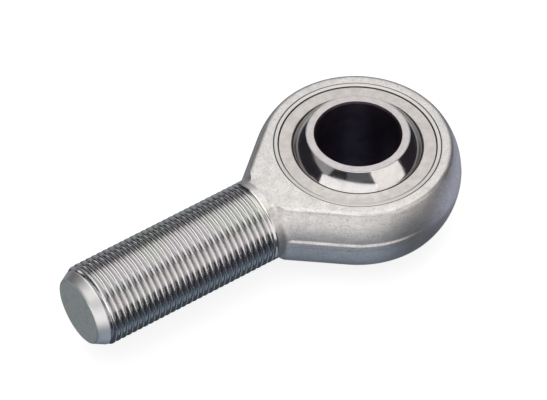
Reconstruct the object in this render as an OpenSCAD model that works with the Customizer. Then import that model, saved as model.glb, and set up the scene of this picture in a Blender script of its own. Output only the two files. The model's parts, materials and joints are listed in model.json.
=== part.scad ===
// Male rod end bearing with a right-hand metric shank: a forged eye on a threaded stem,
// a pressed-in steel race, a bonded sliding liner and a plated ball.
// Origin at the ball's centre, +Z along the bore, shank along -X. Millimetres.

/* [Ball] */

// bore of the ball, the bolt size
bore_d = 20; // [18:0.5:21]
// diameter of the ball over its plating
ball_d = 34.925; // [34.425:0.025:35.425]
// width of the ball between its two flat lands
ball_w = 25; // [24:0.25:26]
// chamfer at each end of the bore
bore_chamfer = 0.4; // [0.2:0.05:0.8]
// thickness of the hard plating on the ball's sphere
plating_t = 0.08; // [0.06:0.01:0.12]
// sliding clearance between one spherical layer and the next
slip_gap = 0.04; // [0.02:0.01:0.06]

/* [Race and liner] */

// thickness of the sliding liner
liner_t = 0.28; // [0.2:0.01:0.4]
// width of the liner across the race
liner_w = 17.1; // [16:0.1:17.3]
// outside diameter of the race
race_d = 38; // [37.6:0.1:38.4]
// width of the race
race_w = 17.4; // [17:0.1:17.7]
// chamfer on the race's outer edges
race_chamfer = 0.55; // [0.45:0.05:0.65]

/* [Head] */

// diameter of the head
head_d = 50; // [48:0.5:54]
// thickness of the head between its flats
head_w = 18; // [17.9:0.1:20]
// radius of the crowned rim in section
crown_r = 17; // [15:0.5:22]
// width of the parting ridge left by the forging dies round the middle of the rim
ridge_w = 2; // [1:0.25:3]
// how far the parting ridge stands out of the crowned rim
ridge_h = 0.3; // [0.1:0.05:0.5]
// radius where the staked lip starts to slope down from the flat
lip_outer_r = 19.65; // [19.5:0.05:20]
// radius of the staked lip's inner edge
lip_inner_r = 18.72; // [18.6:0.02:18.76]
// height of the upright edge of the staked lip
lip_edge = 0.47; // [0.1:0.01:0.5]

/* [Neck] */

// angle between each straight side of the neck and the shank
neck_angle = 40; // [36:1:45]
// radius that blends the sides of the neck into the shank
neck_fillet_r = 3.8; // [3:0.1:5]
// radius turned out of the head's four corners beside the shank
corner_r = 2; // [1.5:0.1:3]
// length of the plain collar between the neck and the thread
collar_w = 1.7; // [1:0.1:3]

/* [Shank] */

// outside diameter of the thread
thread_d = 20; // [19:0.5:20]
// pitch of the thread
pitch = 1.5; // [1.25:0.25:2]
// distance from the ball's centre to the end of the shank
shank_end = 78; // [70:1:90]
// radius of the flat face on the end of the shank
end_face_r = 8.05; // [7:0.05:8.5]
// length of the cone that leads in to the thread
lead_in = 2.3; // [1.5:0.1:3]
// radius of the lead-in cone where the thread starts
lead_in_r = 9.3; // [9.1:0.05:9.5]

/* [Hidden] */

$fn = 96;

head_r = head_d / 2;
half_w = head_w / 2;
crown_edge = head_r - ridge_h;
crown_c = crown_edge - sqrt(pow(crown_r, 2) - pow(ridge_w / 2, 2));
ball_r = ball_d / 2;
core_r = ball_r - plating_t - slip_gap;
liner_in_r = ball_r + slip_gap;
liner_out_r = liner_in_r + liner_t;
race_in_r = liner_out_r + slip_gap;
race_r = race_d / 2;
race_shoulder = race_w / 2 - race_chamfer;
lip_root = race_shoulder + race_r - lip_inner_r;

thread_r = thread_d / 2;

// the neck's blend is tangent to the shank and to the crowned side of the neck
normal_angle = 90 - neck_angle;
neck_end = (crown_edge + neck_fillet_r - sin(normal_angle) * (thread_r + neck_fillet_r)) / cos(normal_angle);
blend_start = neck_end - neck_fillet_r * sin(neck_angle);

// ISO metric profile: thread depth and half widths of a groove at its mouth and its root
groove_depth = 0.6134 * pitch;
root_r = thread_r - groove_depth;
groove_mouth = 7 / 16 * pitch;
groove_root = groove_mouth - groove_depth * tan(30);
last_groove = shank_end - lead_in - groove_root - (lead_in_r - root_r);
turns = floor((last_groove - neck_end - collar_w - groove_mouth) / pitch);
first_groove = last_groove - turns * pitch;

// the shank runs on inside the head, clear of the flats
stub_r = half_w - 0.5;
stub_start = race_r + 1;
over = 1;

forged = [0.80, 0.79, 0.77];
ground = [0.86, 0.85, 0.83];
fabric = [0.24, 0.24, 0.23];
steel = [0.74, 0.72, 0.72];
chrome = [0.90, 0.90, 0.92];

// ---- profiles -------------------------------------------------------------

// half section of the rim: flat faces, crowned edge and the parting ridge
module rim_profile(inner) {
    translate([inner, -half_w])
        square([crown_c - inner, head_w]);
    translate([inner, -ridge_w / 2])
        square([head_r - inner, ridge_w]);
    intersection() {
        translate([crown_c, 0])
            circle(r = crown_r);
        translate([inner, -half_w])
            square([head_r - inner, head_w]);
    }
}

// section of the seat for the race, with a lip staked over the race at both ends
module seat_profile() {
    polygon([
        [0, -half_w - over],
        [lip_outer_r, -half_w - over],
        [lip_outer_r, -half_w],
        [lip_inner_r, -lip_root - lip_edge],
        [lip_inner_r, -lip_root],
        [race_r, -race_shoulder],
        [race_r, race_shoulder],
        [lip_inner_r, lip_root],
        [lip_inner_r, lip_root + lip_edge],
        [lip_outer_r, half_w],
        [lip_outer_r, half_w + over],
        [0, half_w + over]
    ]);
}

// half section of the threaded shank: radius against distance from the ball's centre
module shank_profile() {
    polygon(concat(
        [[0, stub_start], [stub_r, stub_start], [stub_r, neck_end], [thread_r, neck_end]],
        [for (i = [0 : turns - 1], p = [
            [thread_r, -groove_mouth],
            [root_r, -groove_root],
            [root_r, groove_root],
            [thread_r, groove_mouth]
        ]) [p[0], first_groove + i * pitch + p[1]]],
        [
            [thread_r, last_groove - groove_mouth],
            [root_r, last_groove - groove_root],
            [root_r, last_groove + groove_root],
            [lead_in_r, shank_end - lead_in],
            [end_face_r, shank_end],
            [0, shank_end]
        ]
    ));
}

// a zone of a spherical shell, as wide as w
module shell_profile(r_in, r_out, w) {
    intersection() {
        difference() {
            circle(r = r_out);
            circle(r = r_in);
        }
        translate([0, -w / 2])
            square([r_out, w]);
    }
}

// ---- pieces ---------------------------------------------------------------

// turns a profile drawn as radius against distance about the shank's axis
module about_shank() {
    rotate([0, -90, 0])
        rotate_extrude()
            children();
}

// one straight side of the neck, with the same section as the rim
module neck_side(turn) {
    rotate([90, 0, turn])
        linear_extrude(height = 4 * head_d, center = true)
            rim_profile(-head_r);
}

// the part of the head between the two straight sides, with its corners turned off
module neck() {
    difference() {
        intersection() {
            neck_side(180 - normal_angle);
            neck_side(180 + normal_angle);
            translate([0, 0, -half_w])
                linear_extrude(height = head_w)
                    polygon([
                        [0, 0],
                        [-neck_end, neck_end * tan(normal_angle)],
                        [-neck_end, -neck_end * tan(normal_angle)]
                    ]);
        }
        about_shank()
            difference() {
                translate([thread_r, neck_end - corner_r])
                    square([head_r, corner_r + over]);
                under_arc(thread_r, corner_r, neck_end - corner_r);
            }
    }
}

// the concave blend from the sides of the neck to the shank, cut off level with the flats
module neck_blend() {
    intersection() {
        about_shank()
            under_arc(0, neck_fillet_r, blend_start);
        translate([-neck_end, -head_r, -half_w])
            cube([neck_end, head_d, head_w]);
    }
}

// profile from radius inner out to an arc of radius r that is tangent to the shank at the neck's end
module under_arc(inner, r, start) {
    difference() {
        translate([inner, start])
            square([thread_r + r - inner, neck_end - start]);
        translate([thread_r + r, neck_end])
            circle(r = r);
    }
}

module rod_end_body() {
    color(forged)
        difference() {
            union() {
                rotate_extrude()
                    rim_profile(0);
                neck();
                neck_blend();
                about_shank()
                    shank_profile();
            }
            rotate_extrude()
                seat_profile();
        }
}

module race() {
    color(ground)
        rotate_extrude()
            difference() {
                polygon([
                    [0, -race_w / 2],
                    [race_r - race_chamfer, -race_w / 2],
                    [race_r, -race_shoulder],
                    [race_r, race_shoulder],
                    [race_r - race_chamfer, race_w / 2],
                    [0, race_w / 2]
                ]);
                circle(r = race_in_r);
            }
}

module sliding_liner() {
    color(fabric)
        rotate_extrude()
            shell_profile(liner_in_r, liner_out_r, liner_w);
}

module ball_plating() {
    color(chrome)
        rotate_extrude()
            shell_profile(ball_r - plating_t, ball_r, ball_w);
}

module ball() {
    color(steel)
        rotate_extrude()
            difference() {
                intersection() {
                    circle(r = core_r);
                    translate([0, -ball_w / 2])
                        square([core_r, ball_w]);
                }
                polygon([
                    [0, -ball_w / 2 - over],
                    [bore_d / 2 + bore_chamfer, -ball_w / 2 - over],
                    [bore_d / 2 + bore_chamfer, -ball_w / 2],
                    [bore_d / 2, -ball_w / 2 + bore_chamfer],
                    [bore_d / 2, ball_w / 2 - bore_chamfer],
                    [bore_d / 2 + bore_chamfer, ball_w / 2],
                    [bore_d / 2 + bore_chamfer, ball_w / 2 + over],
                    [0, ball_w / 2 + over]
                ]);
            }
}

rod_end_body();
race();
sliding_liner();
ball_plating();
ball();
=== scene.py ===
import json
import math

import bmesh
import bpy
import numpy as np
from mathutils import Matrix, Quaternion, Vector


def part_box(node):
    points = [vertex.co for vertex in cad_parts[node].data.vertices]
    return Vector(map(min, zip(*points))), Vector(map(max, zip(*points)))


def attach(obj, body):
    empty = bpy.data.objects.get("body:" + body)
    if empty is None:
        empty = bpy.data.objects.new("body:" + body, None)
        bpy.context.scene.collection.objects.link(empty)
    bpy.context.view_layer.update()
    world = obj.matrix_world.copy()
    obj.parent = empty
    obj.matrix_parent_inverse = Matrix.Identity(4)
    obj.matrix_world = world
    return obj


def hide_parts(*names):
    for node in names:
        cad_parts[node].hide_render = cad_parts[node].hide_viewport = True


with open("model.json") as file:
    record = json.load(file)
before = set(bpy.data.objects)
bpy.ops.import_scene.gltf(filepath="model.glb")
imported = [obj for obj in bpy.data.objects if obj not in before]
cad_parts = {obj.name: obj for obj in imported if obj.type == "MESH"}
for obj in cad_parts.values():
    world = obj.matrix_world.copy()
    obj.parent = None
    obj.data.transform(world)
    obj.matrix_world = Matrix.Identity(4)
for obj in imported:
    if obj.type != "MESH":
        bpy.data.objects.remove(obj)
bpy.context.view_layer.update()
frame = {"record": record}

# A male rod end bearing, in looks. Shapes are worked out in millimetres and made in metres.
MM = 0.001

# ---- sizes taken from the frame ---------------------------------------------


def corners_mm(node):
    """Lowest and highest corner of a CAD node, in millimetres."""
    return [[round(x / MM, 3) for x in corner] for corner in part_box(node)]


def mount_radius(name):
    """Radius of one of the record's mounts, in millimetres."""
    return next(m["dims"]["r_mm"] for m in frame["record"]["mounts"] if m["name"] == name)


BODY_LOW, BODY_HIGH = corners_mm("rod_end_body")
SHANK_END = -BODY_LOW[0]
HEAD_R = round(BODY_HIGH[0], 1)
THREAD_R = mount_radius("shank_thread")
RACE_R, _, RACE_HALF = corners_mm("race")[1]
LINER_HALF = corners_mm("sliding_liner")[1][2]
BALL_R, _, BALL_HALF = corners_mm("ball_plating")[1]
BORE_R = mount_radius("ball_bore")

# ---- sizes named here, millimetres and degrees --------------------------------

# the head: the race lies a little below its flats, and the rim is crowned, with rounded edges
RACE_SETBACK = 0.3
HEAD_HALF = RACE_HALF + RACE_SETBACK
CROWN_R = 17.0
EDGE_R = 1.4
# the parting ridge: its height, and how far from the parting plane its top and its foot reach
RIDGE_H = 0.3
RIDGE_TOP = 0.7
RIDGE_FOOT = 1.2
# opposite the shank it is dressed off: what is left there, and between which angles it comes back
RIDGE_DRESSED = 0.15
RIDGE_FADE = (80, 112)
# the staked lip, from the scribed line round it to its inner edge
LIP_OUTER_R = 19.65
LIP_INNER_R = 18.72
SCRIBE_DEPTH = 0.18
# the neck: the angle at which its sides leave the rim, and the two fillets at the shank
SIDE_ANGLE = 130.0
NECK_FILLET_R = 3.8
CORNER_R = 2.0
# the shank: the thread's pitch, the length and widest radius of the cone, and the end face
PITCH = 1.5
LEAD_IN = 2.3
LEAD_IN_R = 9.3
END_FACE_R = 8.05
# the turned pieces
RACE_CHAMFER = 0.55
LINER_T = 0.28
PLATING_T = 0.08
SLIP_GAP = 0.04
BORE_CHAMFER = 0.4
# how far the ball tilts each way
TILT_LIMIT = 14.0

# ---- sizes that follow from these -----------------------------------------------

LINER_R = BALL_R + SLIP_GAP + LINER_T
RACE_SHOULDER = RACE_HALF - RACE_CHAMFER
LIP_ROOT = RACE_SHOULDER + RACE_R - LIP_INNER_R
# the crown's radius about Z is CROWN_EDGE one millimetre off the parting plane
CROWN_EDGE = HEAD_R - RIDGE_H
CROWN_C = CROWN_EDGE - math.sqrt(CROWN_R**2 - 1)
# the direction that the neck's side faces, and how far from the ball's centre the neck ends
SIDE_N = (math.cos(math.radians(SIDE_ANGLE)), math.sin(math.radians(SIDE_ANGLE)))
NECK_END = (CROWN_EDGE + NECK_FILLET_R - SIDE_N[1] * (THREAD_R + NECK_FILLET_R)) / -SIDE_N[0]

# ---- the photograph's view --------------------------------------------------------

# degrees about Z from straight in front, degrees above the level, and degrees of roll
CAMERA_AZIMUTH = -37.4
CAMERA_ELEVATION = 47.7
CAMERA_ROLL = 0.96
# metres from the ball's centre, and millimetres of focal length on a sensor 36 wide
CAMERA_DISTANCE = 0.869
CAMERA_LENS = 242.2
# millimetres that the aim lies to the right of the ball's centre and above it, as the camera sees them
AIM_RIGHT = -19.3
AIM_UP = -8.0


def smooth(low, high, x):
    """0 below low, 1 above high, and a smooth step between."""
    t = np.clip((x - low) / (high - low), 0.0, 1.0)
    return t * t * (3 - 2 * t)


def soft_min(a, b, k):
    """The smaller of a and b, with the corner between them rounded over a width of k."""
    h = np.clip(0.5 + 0.5 * (b - a) / k, 0.0, 1.0)
    return b * (1 - h) + a * h - k * h * (1 - h)


def direction(azimuth, elevation):
    """The way out from the object at these two angles in degrees, where azimuth 0 is straight in front."""
    a, e = math.radians(azimuth), math.radians(elevation)
    return Vector((math.sin(a) * math.cos(e), -math.cos(a) * math.cos(e), math.sin(e)))


# ---- mesh helpers ---------------------------------------------------------------

# points nearer to each other than this become one
MERGE_MM = 1e-4
# columns round a turned piece
TURN_SEGMENTS = 192
# steps in a rounded corner, and the largest share of a side that one corner takes up
ROUND_STEPS = 3
ROUND_REACH = 0.45
# share of an arc in the short step at each end
END_STEP = 0.003


class Shape:
    """Collects points in millimetres and faces with a material number, then makes one object."""

    def __init__(self):
        self.points, self.faces, self.slots, self.depths = [], [], [], []

    def add(self, points, depths=None):
        """Adds points and returns their numbers. depths are their depths of shade, 0 when left out."""
        first = len(self.points)
        self.points.extend(tuple(p) for p in points)
        self.depths.extend(depths or [0.0] * len(points))
        return list(range(first, len(self.points)))

    def face(self, corners, slot=0):
        self.faces.append(tuple(corners))
        self.slots.append(slot)

    def strip(self, a, b, slot=0, closed=False):
        """Quads between two rows of the same length. slot is a number, or a list with one for each quad."""
        count = len(a) if closed else len(a) - 1
        for i in range(count):
            j = (i + 1) % len(a)
            self.face((a[i], a[j], b[j], b[i]), slot[i] if isinstance(slot, list) else slot)

    def build(self, name, materials):
        """Makes the object, with doubled points merged and faces turned outwards."""
        mesh = bpy.data.meshes.new(name)
        mesh.from_pydata([tuple(c * MM for c in p) for p in self.points], [], self.faces)
        mesh.polygons.foreach_set("material_index", self.slots)
        for m in materials:
            mesh.materials.append(m)
        mesh.attributes.new("depth", "FLOAT", "POINT").data.foreach_set("value", self.depths)
        work = bmesh.new()
        work.from_mesh(mesh)
        bmesh.ops.remove_doubles(work, verts=work.verts, dist=MERGE_MM * MM)
        bmesh.ops.dissolve_degenerate(work, edges=work.edges, dist=MERGE_MM * MM)
        bmesh.ops.recalc_face_normals(work, faces=work.faces)
        for f in work.faces:
            f.smooth = True
        work.to_mesh(mesh)
        work.free()
        thing = bpy.data.objects.new(name, mesh)
        bpy.context.scene.collection.objects.link(thing)
        even = thing.modifiers.new("even_normals", "WEIGHTED_NORMAL")
        even.mode = "FACE_AREA"
        even.weight = 60
        return thing


def mirrored(corners):
    """(r, z, radius) corners, followed by their mirror image in the plane z = 0."""
    return corners + [(r, -z, radius) for r, z, radius in reversed(corners)]


def rounded(corners):
    """A closed outline from (r, z, radius) corners, each rounded with an arc of that radius."""
    out = []
    for i, (r, z, radius) in enumerate(corners):
        here = Vector((r, z))
        back = Vector(corners[i - 1][:2]) - here
        ahead = Vector(corners[(i + 1) % len(corners)][:2]) - here
        half = back.angle(ahead) / 2
        reach = min(radius / math.tan(half), ROUND_REACH * back.length, ROUND_REACH * ahead.length)
        start, end = here + back.normalized() * reach, here + ahead.normalized() * reach
        centre = here + (back.normalized() + ahead.normalized()).normalized() * (reach / math.cos(half))
        for s in range(ROUND_STEPS + 1):
            spoke = (start - centre).lerp(end - centre, s / ROUND_STEPS).normalized()
            p = centre + spoke * (start - centre).length
            out.append((p.x, p.y))
    return out


def arc(radius, z_from, z_to, steps):
    """Points on a sphere's section between two heights. A short step at both ends keeps edges crisp."""
    a, b = math.asin(z_from / radius), math.asin(z_to / radius)
    shares = [0, END_STEP] + [i / steps for i in range(1, steps)] + [1 - END_STEP, 1]
    return [(radius * math.cos(a + (b - a) * t), radius * math.sin(a + (b - a) * t)) for t in shares]


def lathe(name, outline, materials, slot_of=lambda r, z: 0):
    """Turns a closed (r, z) outline about Z. slot_of gives the material number at a place on it."""
    shape = Shape()
    slots = []
    for (r0, z0), (r1, z1) in zip(outline, outline[1:] + outline[:1]):
        slots.append(slot_of((r0 + r1) / 2, (z0 + z1) / 2))
    columns = []
    for s in range(TURN_SEGMENTS):
        a = math.tau * s / TURN_SEGMENTS
        columns.append(shape.add([(r * math.cos(a), r * math.sin(a), z) for r, z in outline]))
    for s in range(TURN_SEGMENTS):
        shape.strip(columns[s], columns[(s + 1) % TURN_SEGMENTS], slots, closed=True)
    return shape.build(name, materials)


# ---- housing ----------------------------------------------------------------------

FORGED, MACHINED, THREADED, END_FACE = range(4)

# rows up the crown above the ridge, and over its rounded edge
CROWN_STEPS = 16
EDGE_STEPS = 5
# stations round one side of the head, and along the neck before and after the share where it starts to curve
HEAD_STATIONS = 53
NECK_STATIONS = (9, 19)
NECK_CURVE = 0.68
# columns over the shank, and the largest width of the bevel where it meets the flat
SHOULDER_SEGMENTS = 16
SHOULDER_SOFT = 0.15
# width of the rounding between the neck's two fillets, and how far from the shank it is reached
NECK_SOFT = 0.25
NECK_SOFT_REACH = 0.6


def crown(z):
    """Radius of the crowned rim at height z, without the parting ridge."""
    return CROWN_C + math.sqrt(CROWN_R**2 - z**2)


def ridge_left(turn):
    """Share of the parting ridge that is left at an angle round the head."""
    return RIDGE_DRESSED + (1 - RIDGE_DRESSED) * float(smooth(*RIDGE_FADE, abs(turn)))


def ridge_w(z):
    """Share of the parting ridge's height that stands at height z."""
    return float(np.clip((RIDGE_FOOT - z) / (RIDGE_FOOT - RIDGE_TOP), 0, 1))


def rim_rows():
    """Heights and crown radii of the rows up the rim, from the parting plane to the flat."""
    # two rows close together at the ridge's top and at its foot keep both edges crisp
    ridge = (0, 0.35, RIDGE_TOP - 0.04, RIDGE_TOP + 0.03, RIDGE_FOOT - 0.05, RIDGE_FOOT + 0.03)
    rows = [(z, crown(z)) for z in ridge]
    # the rounded edge touches the crown at this angle on the crown's arc
    spread = CROWN_R - EDGE_R
    rounding_z = HEAD_HALF - EDGE_R
    rounding_r = CROWN_C + math.sqrt(spread**2 - rounding_z**2)
    tangent = math.asin(rounding_z / spread)
    # the rows go on into the shank, so their heights are even steps round its section
    low = math.asin((RIDGE_FOOT + 0.15) / THREAD_R)
    high = math.asin(CROWN_R * math.sin(tangent) / THREAD_R)
    for i in range(CROWN_STEPS + 1):
        z = THREAD_R * math.sin(low + (high - low) * i / CROWN_STEPS)
        rows.append((z, crown(z)))
    for i in range(1, EDGE_STEPS + 1):
        a = tangent + (math.pi / 2 - tangent) * i / EDGE_STEPS
        rows.append((rounding_z + EDGE_R * math.sin(a), rounding_r + EDGE_R * math.cos(a)))
    return rows


def neck_y(x, z, r):
    """Half width of the neck at x on the row at height z, whose rim radius is r."""
    side = (r - SIDE_N[0] * x) / SIDE_N[1]
    along = NECK_END + x
    y = side
    if along < NECK_FILLET_R * -SIDE_N[0]:
        fill = THREAD_R + NECK_FILLET_R - math.sqrt(NECK_FILLET_R**2 - along**2)
        y = max(side, math.sqrt(max(fill**2 - z**2, 0)))
    if along < CORNER_R:
        cut = THREAD_R + CORNER_R - math.sqrt(CORNER_R**2 - along**2)
        soft = NECK_SOFT * smooth(0, NECK_SOFT_REACH, along) + 1e-6
        y = float(soft_min(y, math.sqrt(cut**2 - z**2), soft))
    return y


def side_outline(rows):
    """For each station round one side of the head: its point on every row."""
    stations = []
    for turn in np.linspace(0, SIDE_ANGLE, HEAD_STATIONS):
        c, s = math.cos(math.radians(turn)), math.sin(math.radians(turn))
        radii = [r + RIDGE_H * ridge_left(turn) * ridge_w(z) for z, r in rows]
        stations.append([(r * c, r * s, z) for r, (z, _) in zip(radii, rows)])
    straight, curved = NECK_STATIONS
    shares = [*np.linspace(0, NECK_CURVE, straight)[1:], *np.linspace(NECK_CURVE, 1, curved)[1:]]
    for share in shares:
        station = []
        for z, r in rows:
            full = r + RIDGE_H * ridge_w(z)
            x = SIDE_N[0] * full + (-NECK_END - SIDE_N[0] * full) * share
            y = math.sqrt(THREAD_R**2 - z**2) if share == 1 else neck_y(x, z, full)
            station.append((x, y, z))
        stations.append(station)
    return stations


# from the flat over the scribed line and the staked lip down to the seat: radius, height and depth of
# painted shade
LIP_PROFILE = (
    (LIP_OUTER_R + 0.30, HEAD_HALF, 0),
    (LIP_OUTER_R + 0.18, HEAD_HALF, 0),
    (LIP_OUTER_R + 0.08, HEAD_HALF - SCRIBE_DEPTH, 1),
    (LIP_OUTER_R + 0.02, HEAD_HALF - SCRIBE_DEPTH, 1),
    (LIP_OUTER_R - 0.08, HEAD_HALF - 0.02, 0),
    (LIP_OUTER_R - 0.20, HEAD_HALF - 0.03, 0),
    (LIP_INNER_R + 0.16, HEAD_HALF - 0.06, 0),
    (LIP_INNER_R + 0.05, HEAD_HALF - 0.08, 0),
    (LIP_INNER_R, HEAD_HALF - 0.14, 0.4),
    (LIP_INNER_R, LIP_ROOT, 1),
    (RACE_R, RACE_SHOULDER, 1),
)
# material numbers from the flat's edge to the seat
FLAT_SLOTS = [FORGED, FORGED] + [MACHINED] * (len(LIP_PROFILE) - 1)


def inward(corner):
    """From a point on the flat's edge across the flat, over the lip and into the seat."""
    turn = math.atan2(corner[1], corner[0])
    lip = [(r * math.cos(turn), r * math.sin(turn), z) for r, z, _ in LIP_PROFILE]
    middle = tuple(0.5 * (a + b) for a, b in zip(corner, lip[0]))
    return [middle] + lip


def side_columns():
    """The upper half of each column round one side of the head, with the material numbers along it."""
    rows = rim_rows()
    slots = [FORGED] * (len(rows) - 1) + FLAT_SLOTS
    return [(station + inward(station[-1]), slots) for station in side_outline(rows)]


def shoulder_columns():
    """The same over the shank, which stands above the head's flat where the neck ends."""
    edge = math.asin(HEAD_HALF / THREAD_R)
    columns = []
    for i in range(SHOULDER_SEGMENTS + 1):
        phi = edge + (math.pi - 2 * edge) * i / SHOULDER_SEGMENTS
        y, top = THREAD_R * math.cos(phi), THREAD_R * math.sin(phi)
        soft = min(SHOULDER_SOFT, 0.35 * (top - HEAD_HALF))
        wall = [
            (-NECK_END, y, top),
            (-NECK_END + 0.5 * soft, y, top - 0.5 * soft),
            (-NECK_END + 0.5 * soft, y, HEAD_HALF + soft),
            (-NECK_END + 1.5 * soft, y, HEAD_HALF),
        ]
        columns.append((wall + inward(wall[-1]), [FORGED] * (len(wall) - 1) + FLAT_SLOTS))
    return columns


def housing():
    """The forged eye and its threaded shank, one closed mesh."""
    shape = Shape()
    side, shoulder = side_columns(), shoulder_columns()
    lip_depths = [depth for _, _, depth in LIP_PROFILE]

    def column(points, sign):
        """A whole section: the upper half, the seat and the lower half, from outside to outside."""
        upper = [(x, sign * y, z) for x, y, z in points]
        depths = [0.0] * (len(points) - len(lip_depths)) + lip_depths
        return shape.add(upper + [(x, y, -z) for x, y, z in reversed(upper)], depths + depths[::-1])

    for halves, sign in ((side, 1), (side, -1), (shoulder, 1)):
        columns = [column(points, sign) for points, _ in halves]
        for a, b, (_, slots) in zip(columns, columns[1:], halves):
            shape.strip(a, b, slots + [MACHINED] + slots[::-1])

    # the shank's rings have a point at the angle of each point on the neck's end
    neck_end = side[-1][0][:len(rim_rows())]
    quarter = [math.atan2(z, y) for _, y, z in neck_end]
    crescent = [math.atan2(points[0][2], points[0][1]) for points, _ in shoulder][1:-1]
    upper = quarter + crescent + [math.pi - a for a in reversed(quarter)]
    shank(shape, upper + [a + math.pi for a in upper[1:-1]])
    return shape.build("rod_end_housing", [forging(), machined_zinc(), rolled_thread(), end_face()])


# ---- shank ----------------------------------------------------------------------------

# the groove's depth, half the width of its mouth, and how steep its flanks are
GROOVE_DEPTH = 0.6134 * PITCH
GROOVE_MOUTH = 0.4 * PITCH
FLANK_SLOPE = 1 / math.tan(math.radians(30))
# where the thread's profile is sampled, from one crest to the next, as distances from the groove's centre
GROOVE_STATIONS = (-0.75, -0.65, -0.57, -0.35, -0.14, -0.045, 0.045, 0.14, 0.35, 0.57, 0.65)
PER_PITCH = len(GROOVE_STATIONS)
# the last turn starts where the lead-in cone has cut below the root of the thread
LAST_TURN = SHANK_END - 1.65
COLLAR_MIN = 0.12
TURNS = int((LAST_TURN - NECK_END - COLLAR_MIN) / PITCH)
THREAD_START = LAST_TURN - TURNS * PITCH
LINES = TURNS * PER_PITCH
# the groove deepens from nothing to its full depth between these, and the forging's finish ends before them
RUN_OUT = (NECK_END + 1.55, NECK_END + 3.0)
COLLAR_END = RUN_OUT[0] - 0.2
# width of the rounding between the thread and the cone, and the cone's last ring before the end face
CONE_SOFT = 0.08
LAST_RING = SHANK_END - 0.1
# rings across the end face
END_RINGS = (END_FACE_R - 0.1, END_FACE_R - 0.5, END_FACE_R / 2)
# depth of shade that marks the turned cone; on the thread it is 0 on the crests and 1 at the root
CONE = -1.0


def groove_depth(offset):
    """Depth of the thread's groove at a distance from its centre."""
    return min(max((GROOVE_MOUTH - abs(offset)) * FLANK_SLOPE, 0), GROOVE_DEPTH)


def cone_radius(along):
    """Radius of the lead-in cone at a distance from the ball's centre."""
    return LEAD_IN_R - (along - SHANK_END + LEAD_IN) * (LEAD_IN_R - END_FACE_R) / LEAD_IN


def shank_surface(along, offset):
    """Radius and depth of shade, at distances from the ball's centre and from the groove's centre."""
    groove = groove_depth(offset) * float(smooth(*RUN_OUT, along))
    thread, cone = THREAD_R - groove, cone_radius(along)
    shade = CONE if cone < thread else groove / GROOVE_DEPTH
    return float(soft_min(thread, cone, CONE_SOFT)), shade


def on_shank(along, radius, turn):
    """The point at a distance from the ball's centre, a radius, and an angle round the shank."""
    return (-along, radius * math.cos(turn), -radius * math.sin(turn))


def plain_ring(shape, turns, along, radius, depth=0.0):
    """A level ring of points round the shank."""
    return shape.add([on_shank(along, radius, turn) for turn in turns], [depth] * len(turns))


def helix_line(shape, turns, m):
    """Line m of the thread, once round the shank and one pitch along it. Only the last turn's lines have a
    point at their end, because any other line ends at a point of the line one turn further on."""
    offset = GROOVE_STATIONS[m % PER_PITCH]
    start = THREAD_START + PITCH * (m // PER_PITCH) + offset + PITCH / 2
    if m > LINES - PER_PITCH:
        turns = turns + [math.tau]
    points, depths = [], []
    for turn in turns:
        along = start + PITCH * turn / math.tau
        radius, depth = shank_surface(along, offset)
        points.append(on_shank(along, radius, turn))
        depths.append(depth)
    return shape.add(points, depths)


def collar(shape, first, at):
    """The plain collar, whose last faces meet the helix's first step."""
    last = len(first) - 1
    for j in range(last):
        shape.face((first[j], first[j + 1], at(0, j + 1), at(0, j)), FORGED)
    seam = [first[last], first[0]] + [at(m, 0) for m in range(PER_PITCH + 1)]
    for a, b in zip(seam, seam[1:]):
        shape.face((at(0, last), a, b), FORGED)


def lead_in(shape, turns, at):
    """The cone past the thread, whose first faces meet the helix's last step. Returns its last ring."""
    n = len(turns)
    tip = plain_ring(shape, turns, LAST_RING, cone_radius(LAST_RING), CONE)
    for j in range(1, n):
        shape.face((at(LINES, j), at(LINES, j + 1), tip[(j + 1) % n], tip[j]), THREADED)
    seam = [at(m, n) for m in range(LINES - PER_PITCH, LINES + 1)]
    for a, b in zip(seam, seam[1:]):
        shape.face((at(LINES, 1), b, a), THREADED)
    shape.face((at(LINES, 1), tip[1], seam[-1]), THREADED)
    shape.face((seam[-1], tip[1], tip[0]), THREADED)
    return tip


def end_disc(shape, turns, ring):
    """The end face, from the cone's last ring to its centre."""
    for radius in END_RINGS:
        inner = plain_ring(shape, turns, SHANK_END, radius)
        shape.strip(ring, inner, END_FACE, closed=True)
        ring = inner
    centre = shape.add([(-SHANK_END, 0, 0)])[0]
    for a, b in zip(ring, ring[1:] + ring[:1]):
        shape.face((a, b, centre), END_FACE)


def shank(shape, turns):
    """The collar, the right-hand helical thread, the lead-in cone and the end face.
    turns are the angles of the points round the shank, as the neck's end has them."""
    first = plain_ring(shape, turns, NECK_END, THREAD_R)
    grid = [helix_line(shape, turns, m) for m in range(LINES + 1)]

    def at(m, j):
        """Point j of line m."""
        return grid[m][j] if j < len(grid[m]) else grid[m + PER_PITCH][0]

    for m in range(LINES):
        for j in range(len(turns)):
            corners = (at(m, j), at(m, j + 1), at(m + 1, j + 1), at(m + 1, j))
            plain = -shape.points[corners[0]][0] < COLLAR_END
            shape.face(corners, FORGED if plain else THREADED)
    collar(shape, first, at)
    end_disc(shape, turns, lead_in(shape, turns, at))


# ---- the turned pieces ------------------------------------------------------------------

# steps along a seat's arc and along a ball's
SEAT_STEPS = 24
BALL_STEPS = 36
# radii of broken edges
RACE_ROUNDING = 0.12
MOUTH_ROUNDING = 0.08
LAND_ROUNDING = 0.03
BORE_ROUNDING = 0.05
# how far short of the flat faces the arcs stop, so that the edges between can be broken
SEAT_TRIM = 0.15
SKIN_TRIM = 0.03
BALL_TRIM = 0.05


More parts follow.
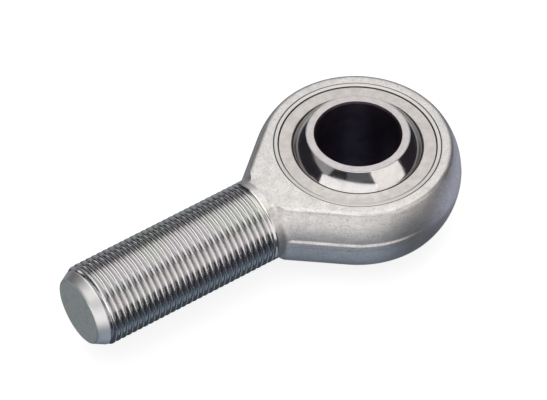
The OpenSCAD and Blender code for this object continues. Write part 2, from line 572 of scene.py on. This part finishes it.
def race_ring():
    """The pressed-in race, with its spherical seat."""
    seat_r = LINER_R + SLIP_GAP
    outline = rounded(mirrored([
        (math.sqrt(seat_r**2 - RACE_HALF**2), -RACE_HALF, MOUTH_ROUNDING),
        (RACE_R - RACE_CHAMFER, -RACE_HALF, RACE_ROUNDING),
        (RACE_R, -RACE_SHOULDER, RACE_ROUNDING),
    ]))
    outline += arc(seat_r, RACE_HALF - SEAT_TRIM, -RACE_HALF + SEAT_TRIM, SEAT_STEPS)
    return lathe("race_ring", outline, [ground_steel()])


def liner_sleeve():
    """The woven liner bonded in the race."""
    outline = arc(LINER_R, -LINER_HALF, LINER_HALF, SEAT_STEPS)
    outline += arc(LINER_R - LINER_T, LINER_HALF, -LINER_HALF, SEAT_STEPS)
    return lathe("liner_sleeve", outline, [liner_weave()])


def chrome_skin():
    """The ball's hard chrome plating."""
    outline = arc(BALL_R, -BALL_HALF + SKIN_TRIM, BALL_HALF - SKIN_TRIM, BALL_STEPS)
    outline += arc(BALL_R - PLATING_T, BALL_HALF, -BALL_HALF, BALL_STEPS)
    return lathe("chrome_skin", outline, [hard_chrome()])


def ball_ring():
    """The inner ring: a ball with two ground lands and a through bore, just clear of its skin's inside."""
    core_r = BALL_R - PLATING_T - SLIP_GAP / 4
    mouth = BORE_R + BORE_CHAMFER
    outline = arc(core_r, -BALL_HALF + BALL_TRIM, BALL_HALF - BALL_TRIM, BALL_STEPS)
    outline += rounded(mirrored([
        (math.sqrt(core_r**2 - BALL_HALF**2), BALL_HALF, LAND_ROUNDING),
        (mouth, BALL_HALF, BORE_ROUNDING),
        (BORE_R, BALL_HALF - BORE_CHAMFER, BORE_ROUNDING),
    ]))
    bore_half = BALL_HALF - BORE_ROUNDING
    return lathe(
        "ball_ring",
        outline,
        [ground_land(), shaded_bore()],
        lambda r, z: 1 if r < mouth and abs(z) < bore_half else 0,
    )


# ---- materials ------------------------------------------------------------------------------


class Nodes:
    """A small helper round one material's node tree."""

    def __init__(self, name):
        self.material = bpy.data.materials.new(name)
        self.material.use_nodes = True
        self.tree = self.material.node_tree
        self.shader = self.tree.nodes["Principled BSDF"]
        self.place = self.add("ShaderNodeTexCoord").outputs["Object"]

    def add(self, kind, **values):
        node = self.tree.nodes.new(kind)
        for key, value in values.items():
            setattr(node, key, value)
        return node

    def link(self, a, b):
        self.tree.links.new(a, b)

    def set(self, **values):
        for key, value in values.items():
            self.shader.inputs[key.replace("_", " ")].default_value = value

    def scaled(self, stretch):
        """Object coordinates multiplied by three numbers."""
        node = self.add("ShaderNodeMapping")
        node.inputs["Scale"].default_value = stretch
        self.link(self.place, node.inputs["Vector"])
        return node.outputs["Vector"]

    def noise(self, grain_mm, vector=None, detail=3.0, rough=0.55):
        """A noise whose blotches are about grain_mm across."""
        node = self.add("ShaderNodeTexNoise")
        node.inputs["Scale"].default_value = 1 / (grain_mm * MM)
        node.inputs["Detail"].default_value = detail
        node.inputs["Roughness"].default_value = rough
        self.link(vector or self.place, node.inputs["Vector"])
        return node.outputs["Fac"]

    def depth(self):
        """The mesh's depth of shade."""
        return self.add("ShaderNodeAttribute", attribute_name="depth").outputs["Fac"]

    def around(self, plane):
        """Distance from an axis, so that a texture on it makes rings. plane is 0 along the axis."""
        flat = self.add("ShaderNodeVectorMath", operation="MULTIPLY")
        flat.inputs[1].default_value = plane
        self.link(self.place, flat.inputs[0])
        length = self.add("ShaderNodeVectorMath", operation="LENGTH")
        self.link(flat.outputs["Vector"], length.inputs[0])
        join = self.add("ShaderNodeCombineXYZ")
        self.link(length.outputs["Value"], join.inputs["X"])
        return join.outputs["Vector"]

    def range(self, value, low, high, new_low=0.0, new_high=1.0):
        """A value that goes from new_low to new_high while the given one goes from low to high."""
        node = self.add("ShaderNodeMapRange")
        ends = {"From Min": low, "From Max": high, "To Min": new_low, "To Max": new_high}
        for key, number in ends.items():
            node.inputs[key].default_value = number
        self.link(value, node.inputs["Value"])
        return node.outputs["Result"]

    def blend(self, share, a, b):
        """A colour between a and b. Each is a colour or another node's output."""
        node = self.add("ShaderNodeMix", data_type="RGBA")
        self.link(share, node.inputs["Factor"])
        # the mix node's colour sockets are its inputs 6 and 7 and its output 2
        for socket, value in ((node.inputs[6], a), (node.inputs[7], b)):
            if isinstance(value, tuple):
                socket.default_value = (*value, 1)
            else:
                self.link(value, socket)
        return node.outputs[2]

    def colour(self, output):
        self.link(output, self.shader.inputs["Base Color"])

    def roughness(self, output):
        self.link(output, self.shader.inputs["Roughness"])

    def bump(self, height, depth_mm, strength=1.0):
        """Bump from a height, after any bump already there."""
        node = self.add("ShaderNodeBump")
        node.inputs["Strength"].default_value = strength
        node.inputs["Distance"].default_value = depth_mm * MM
        self.link(height, node.inputs["Height"])
        normal = self.shader.inputs["Normal"]
        if normal.links:
            self.link(normal.links[0].from_socket, node.inputs["Normal"])
        self.link(node.outputs["Normal"], normal)


def forging():
    """Zinc over a shot-blasted forging: pale, matte and finely grained."""
    m = Nodes("zinc_forging")
    m.set(Metallic=1.0)
    grain = m.noise(0.5, detail=4)
    mottle = m.noise(2.6, detail=3)
    streaks = m.noise(2.4, m.scaled((1, 1, 8)), detail=3)
    pale = m.blend(m.range(mottle, 0.35, 0.65), (0.76, 0.74, 0.72), (0.86, 0.84, 0.82))
    brushed = m.blend(m.range(streaks, 0.35, 0.6, 0.5, 0.0), pale, (0.58, 0.58, 0.61))
    m.colour(m.blend(m.range(grain, 0.32, 0.5, 0.55, 0.0), brushed, (0.46, 0.45, 0.45)))
    m.roughness(m.range(grain, 0.3, 0.7, 0.52, 0.40))
    m.bump(grain, 0.05, 0.5)
    m.bump(streaks, 0.06, 0.4)
    m.bump(mottle, 0.06, 0.3)
    return m.material


def machined_zinc():
    """The turned lip and seat round the race, with painted shade down in the scribed line, at the lip's
    inner edge and in the seat.
    """
    m = Nodes("machined_zinc")
    m.set(Metallic=1.0)
    rings = m.noise(0.06, m.around((1, 1, 0)), detail=2)
    pale = m.blend(rings, (0.62, 0.61, 0.60), (0.74, 0.73, 0.72))
    # painted shade: near black where the depth of shade is high, in the scribed line, at the lip's inner
    # edge and in the seat
    m.colour(m.blend(m.range(m.depth(), 0.0, 0.8), pale, (0.05, 0.05, 0.05)))
    m.roughness(m.range(rings, 0.3, 0.7, 0.48, 0.40))
    m.bump(rings, 0.008, 0.4)
    return m.material


def rolled_thread():
    """Bright zinc on the rolled thread, with the faint colours of its passivation and painted shade
    darkening the groove towards its root.
    """
    m = Nodes("bright_zinc_thread")
    m.set(Metallic=1.0)
    tint = m.noise(9.0, detail=2)
    drawn = m.noise(0.12, m.around((0, 1, 1)), detail=2)
    depth = m.depth()
    bright = m.blend(m.range(tint, 0.38, 0.62), (0.73, 0.74, 0.70), (0.75, 0.72, 0.73))
    # painted shade: the colour darkens towards the root of the groove, where the flanks shade it
    root_shaded = m.blend(m.range(depth, 0.55, 1.0), bright, (0.37, 0.39, 0.43))
    turned = m.range(depth, -0.7, -0.2, 1.0, 0.0)
    m.colour(m.blend(turned, root_shaded, (0.86, 0.86, 0.86)))
    gloss = m.blend(m.range(drawn, 0.3, 0.7), (0.21,) * 3, (0.15,) * 3)
    m.roughness(m.blend(turned, gloss, (0.44,) * 3))
    m.bump(m.noise(0.3, detail=3), 0.01, 0.3)
    return m.material


def end_face():
    """The faced end of the shank."""
    m = Nodes("faced_end")
    m.set(Metallic=1.0)
    rings = m.noise(0.09, m.around((0, 1, 1)), detail=2)
    spots = m.noise(0.8, detail=4)
    tint = m.blend(m.range(m.noise(6.0, detail=2), 0.4, 0.6), (0.66, 0.71, 0.70), (0.70, 0.71, 0.66))
    m.colour(m.blend(m.range(spots, 0.35, 0.65), (0.58, 0.61, 0.60), tint))
    m.roughness(m.range(spots, 0.3, 0.7, 0.50, 0.42))
    m.bump(rings, 0.006, 0.3)
    return m.material


def ground_steel():
    """The race's ground faces."""
    m = Nodes("ground_race")
    m.set(Metallic=1.0)
    rings = m.noise(0.05, m.around((1, 1, 0)), detail=2)
    cloud = m.noise(1.6, detail=3)
    m.colour(m.blend(m.range(cloud, 0.35, 0.65), (0.48, 0.46, 0.45), (0.57, 0.55, 0.535)))
    m.roughness(m.range(rings, 0.3, 0.7, 0.34, 0.26))
    m.bump(rings, 0.006, 0.4)
    m.bump(m.noise(0.25, detail=3), 0.01, 0.3)
    return m.material


def ground_land():
    """The ball's ground lands."""
    m = Nodes("ground_land")
    m.set(Metallic=1.0)
    rings = m.noise(0.05, m.around((1, 1, 0)), detail=2)
    cloud = m.noise(1.2, detail=3)
    m.colour(m.blend(m.range(cloud, 0.35, 0.65), (0.56, 0.53, 0.54), (0.64, 0.61, 0.615)))
    m.roughness(m.range(rings, 0.3, 0.7, 0.44, 0.36))
    m.bump(rings, 0.006, 0.4)
    return m.material


def shaded_bore():
    """The bore, coloured near black as painted shade inside it."""
    m = Nodes("bore_painted_shade")
    m.set(Metallic=1.0)
    rings = m.noise(0.1, m.scaled((0.02, 0.02, 1)), detail=2)
    film = m.noise(3.0, detail=2)
    # painted shade: both colours are near black for the shade down the bore
    m.colour(m.blend(m.range(film, 0.35, 0.65), (0.062, 0.044, 0.062), (0.09, 0.066, 0.088)))
    m.roughness(m.range(rings, 0.3, 0.7, 0.60, 0.50))
    m.bump(rings, 0.006, 0.3)
    return m.material


def hard_chrome():
    """Mirror chrome with the faint marks of polishing."""
    m = Nodes("mirror_chrome")
    m.set(Metallic=1.0)
    film = m.noise(2.0, detail=3)
    m.colour(m.blend(m.range(film, 0.35, 0.65), (0.70, 0.685, 0.68), (0.78, 0.765, 0.76)))
    m.roughness(m.range(film, 0.3, 0.7, 0.13, 0.09))
    m.bump(film, 0.008, 0.5)
    return m.material


def liner_weave():
    """Woven low-friction liner."""
    m = Nodes("liner_weave")
    weave = m.add("ShaderNodeTexWave", wave_type="BANDS", bands_direction="DIAGONAL")
    weave.inputs["Scale"].default_value = 1 / (0.5 * MM)
    m.link(m.place, weave.inputs["Vector"])
    threads = weave.outputs["Fac"]
    m.colour(m.blend(threads, (0.03, 0.03, 0.03), (0.07, 0.065, 0.06)))
    m.set(Roughness=0.85)
    m.bump(threads, 0.03, 0.5)
    return m.material


# ---- studio ------------------------------------------------------------------------------------

# metres: how far away a softbox stands, and the radii of the floor and of the surround
SOFTBOX_DISTANCE = 0.8
FLOOR_R = 0.6
BACKDROP_R = 3
# millimetres from the lowest point of the tilted ball down to the floor
FLOOR_GAP = 0.3


def studio_world():
    """A dark room, a little lighter below."""
    world = bpy.data.worlds.new("studio")
    bpy.context.scene.world = world
    world.use_nodes = True
    tree = world.node_tree
    facing = tree.nodes.new("ShaderNodeTexCoord").outputs["Generated"]
    split = tree.nodes.new("ShaderNodeSeparateXYZ")
    tree.links.new(facing, split.inputs["Vector"])
    height = tree.nodes.new("ShaderNodeMapRange")
    height.inputs["From Min"].default_value = -1
    height.inputs["From Max"].default_value = 1
    tree.links.new(split.outputs["Z"], height.inputs["Value"])
    ramp = tree.nodes.new("ShaderNodeValToRGB")
    tree.links.new(height.outputs["Result"], ramp.inputs["Fac"])
    stops = ramp.color_ramp.elements
    stops[0].position, stops[0].color = 0.10, (0.05, 0.06, 0.075, 1)
    stops[1].position, stops[1].color = 0.50, (0.022, 0.02, 0.025, 1)
    tree.links.new(ramp.outputs["Color"], tree.nodes["Background"].inputs["Color"])


def place_light(name, spot, facing, width, height, radiance, colour):
    """A rectangular light. radiance is how bright it looks, where 1 is white."""
    light = bpy.data.lights.new(name, "AREA")
    light.shape = "RECTANGLE"
    light.size, light.size_y = width, height
    light.energy = math.pi * width * height * radiance
    light.color = colour
    thing = bpy.data.objects.new(name, light)
    thing.location = spot
    thing.rotation_mode = "QUATERNION"
    thing.rotation_quaternion = facing
    thing.visible_camera = False
    bpy.context.scene.collection.objects.link(thing)


def softbox(name, turn, elevation, width, height, radiance, colour):
    """A light that faces the object from an angle to the right of the camera and an elevation."""
    away = direction(CAMERA_AZIMUTH + turn, elevation)
    spot = away * SOFTBOX_DISTANCE
    place_light(name, spot, away.to_track_quat("Z", "Y"), width, height, radiance, colour)


def overhead(height, left, right, back, front, radiance, colour):
    """A level panel above the object. Its edges are distances from the object as the camera sees them."""
    turn = Quaternion((0, 0, 1), math.radians(CAMERA_AZIMUTH))
    spot = turn @ Vector(((right - left) / 2, (back - front) / 2, height))
    place_light("overhead", spot, turn, left + right, back + front, radiance, colour)


def studio_lights():
    """The panel above, and softboxes that make the light and dark bands on the bright metal."""
    overhead(0.7, 0.5, 0.43, 0.8, 0.65, 1.42, (1.0, 0.98, 0.955))
    softbox("front_right", 58, 24, 0.72, 0.56, 1.05, (1.0, 0.96, 0.92))
    softbox("front_low", -12, 4, 1.6, 0.70, 1.10, (1.0, 0.985, 0.975))
    softbox("front_fill", 8, 36, 0.6, 0.22, 0.10, (0.85, 0.9, 1.0))
    softbox("left", -75, 35, 0.7, 0.36, 0.31, (0.98, 0.98, 1.0))
    softbox("left_low", -73, -11, 1.0, 0.2, 1.2, (0.98, 0.98, 1.0))
    softbox("right_low", 120, -30, 0.9, 0.4, 0.62, (0.76, 0.8, 1.0))
    softbox("back", 180, 22, 1.6, 0.55, 0.28, (0.92, 0.97, 1.0))
    softbox("back_low", -155, -22, 1.4, 0.3, 0.3, (0.88, 0.95, 1.0))
    softbox("floor_front", 12, -62, 0.5, 0.6, 0.38, (0.64, 0.79, 1.0))
    softbox("floor_left", -105, -46, 0.36, 0.3, 0.32, (0.9, 1.0, 1.0))


def pale(name, glow):
    """A matte pale finish with a glow of its own, so that it comes out nearly white."""
    material = bpy.data.materials.new(name)
    material.use_nodes = True
    shader = material.node_tree.nodes["Principled BSDF"]
    shader.inputs["Base Color"].default_value = (0.4, 0.4, 0.4, 1)
    shader.inputs["Roughness"].default_value = 0.9
    shader.inputs["Emission Color"].default_value = (1, 1, 1, 1)
    shader.inputs["Emission Strength"].default_value = glow
    return material


def set_stage(name, material):
    """Names the newest object and gives it the material. The metal doesn't mirror it, and it neither lights
    nor shades anything.
    """
    thing = bpy.context.object
    thing.name = name
    thing.data.materials.append(material)
    thing.visible_glossy = False
    thing.visible_diffuse = False
    thing.visible_shadow = False


def floor_and_backdrop():
    """A plain pale floor just below the tilted ball's lowest point, and a pale surround far behind it."""
    tilt = math.radians(TILT_LIMIT)
    land_r = math.sqrt(BALL_R**2 - BALL_HALF**2)
    level = -(BALL_HALF * math.cos(tilt) + land_r * math.sin(tilt) + FLOOR_GAP) * MM
    bpy.ops.mesh.primitive_circle_add(
        vertices=64, radius=FLOOR_R, fill_type="NGON", location=(0, 0, level)
    )
    set_stage("floor", pale("pale_floor", 0.8))
    bpy.ops.mesh.primitive_uv_sphere_add(segments=48, ring_count=24, radius=BACKDROP_R)
    set_stage("backdrop", pale("pale_backdrop", 1.0))


def camera():
    """The photograph's view: a long lens from above the shank's end."""
    data = bpy.data.cameras.new("camera")
    data.sensor_width = 36
    data.lens = CAMERA_LENS
    data.clip_start, data.clip_end = 0.01, 50
    thing = bpy.data.objects.new("camera", data)
    away = direction(CAMERA_AZIMUTH, CAMERA_ELEVATION)
    right = direction(CAMERA_AZIMUTH + 90, 0)
    thing.location = away * CAMERA_DISTANCE
    look = right * (AIM_RIGHT * MM) + away.cross(right) * (AIM_UP * MM) - thing.location
    roll = Quaternion((0, 0, 1), math.radians(CAMERA_ROLL))
    thing.rotation_mode = "QUATERNION"
    thing.rotation_quaternion = look.to_track_quat("-Z", "Y") @ roll
    bpy.context.scene.collection.objects.link(thing)
    bpy.context.scene.camera = thing


# ---- the scene -----------------------------------------------------------------------------------


def pieces():
    """Makes each piece, and says what it rides on and what it replaces. Each row also names a finish, which
    is not used.
    """
    for thing, body, node, slot in (
        (housing(), "rod_end", "rod_end_body", "plated_forging"),
        (race_ring(), "rod_end", "race", "race_steel"),
        (liner_sleeve(), "liner", "sliding_liner", "liner_fabric"),
        (chrome_skin(), "plating", "ball_plating", "hard_chrome"),
        (ball_ring(), "inner_ball", "ball", "ball_steel"),
    ):
        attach(thing, body)
        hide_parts(node)


camera()
pieces()
studio_world()
studio_lights()
floor_and_backdrop()
bpy.context.scene.view_settings.view_transform = "Standard"
